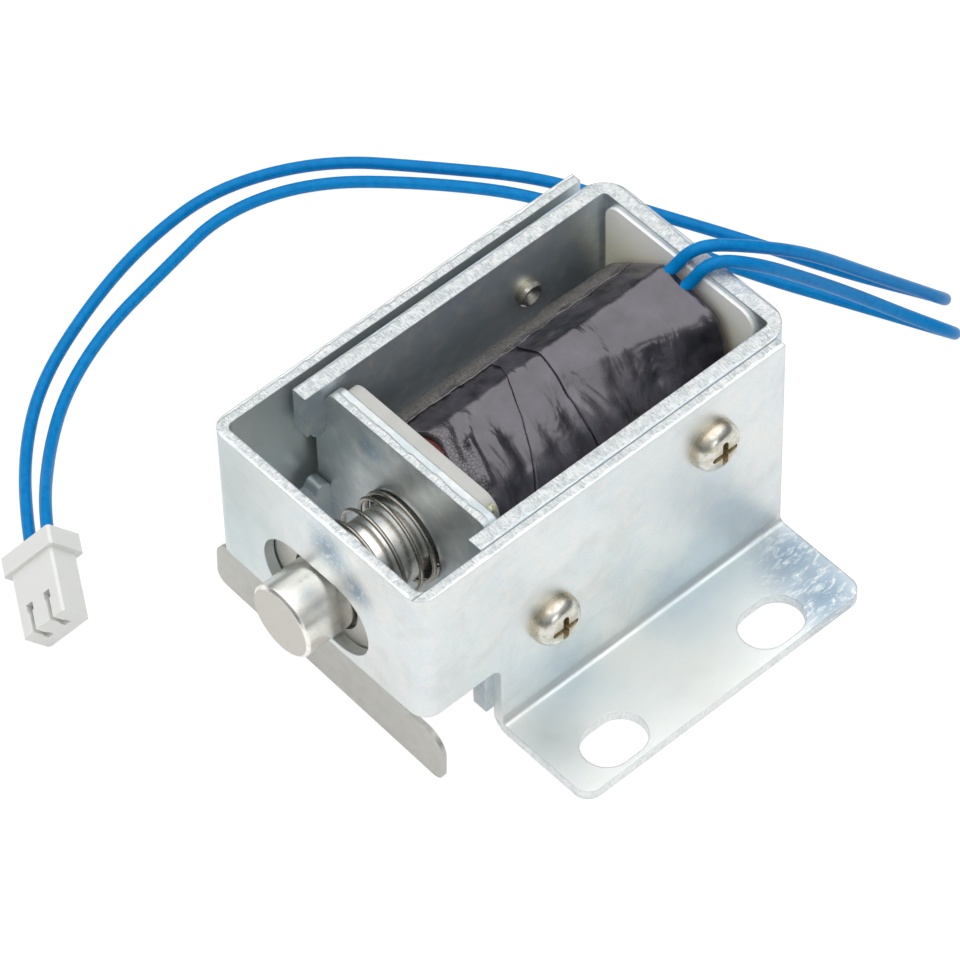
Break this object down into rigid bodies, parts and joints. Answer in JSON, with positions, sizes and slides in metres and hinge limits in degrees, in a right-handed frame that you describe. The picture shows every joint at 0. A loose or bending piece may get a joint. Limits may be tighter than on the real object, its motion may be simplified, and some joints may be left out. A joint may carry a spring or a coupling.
{
  "type": "open frame solenoid",
  "caption": "Small open-frame pull solenoid in a sheet-metal bracket with a side flange; spring-loaded round bolt, release plate and a two-wire plug lead.",
  "frame": {"origin": "centre of the two mounting slots, on the flange's underside", "axes": "+Z out of the flange's top and towards the frame's open side, +Y from the bolt's tip to the back wall, +X from the coil towards the flange"},
  "size_m": [0.0841, 0.0969, 0.032],
  "materials": {
    "zinc_bracket": "zinc-plated sheet, satin",
    "zinc_frame": "zinc-plated sheet, satin",
    "nylon": "translucent moulded",
    "glue": "set drop, slightly cloudy",
    "tube_steel": "drawn, dull",
    "copper": "enamelled wire",
    "tape": "glossy wrinkled tape",
    "tape_back": "matte back of tape",
    "iron": "turned",
    "nickel": "nickel-plated, brushed",
    "clip_steel": "spring steel",
    "satin_steel": "satin",
    "spring_steel": "plated wire",
    "screw_nickel": "nickel-plated",
    "sleeve": "insulating sleeve",
    "lead_blue": "smooth PVC",
    "plug_white": "moulded nylon",
    "tin": "tinned brass"
  },
  "bodies": {
    "base": {"outer_bracket": "zinc_bracket", "inner_frame": "zinc_frame", "pole_plate": "zinc_frame", "bobbin": "nylon", "glue_drop": "glue", "guide_tube": "tube_steel", "winding": "copper", "coil_tape": "tape", "tape_flap": "tape_back", "fixed_core": "iron", "return_spring": "spring_steel", "bracket_screws": "screw_nickel", "lead_splices": "sleeve", "lead_a": "lead_blue", "lead_b": "lead_blue", "plug_housing": "plug_white", "plug_terminals": "tin"},
    "plunger_set": {"plunger": "nickel", "retaining_clip": "clip_steel"},
    "release": {"release_plate": "satin_steel"}
  },
  "joints": [
    {"name": "plunger_slide", "type": "slide", "parent": "base", "child": "plunger_set", "axis": [0, 1, 0], "range_m": [0, 0.005], "stiffness_N_per_m": 116, "springref_m": -0.005, "deforming": ["return_spring"]},
    {"name": "release_plate_swing", "type": "hinge", "parent": "plunger_set", "child": "release", "pos_m": [-0.0238, -0.02525, 0.0153], "axis": [0, -1, 0], "range_deg": [-6.5, 10.5]}
  ]
}
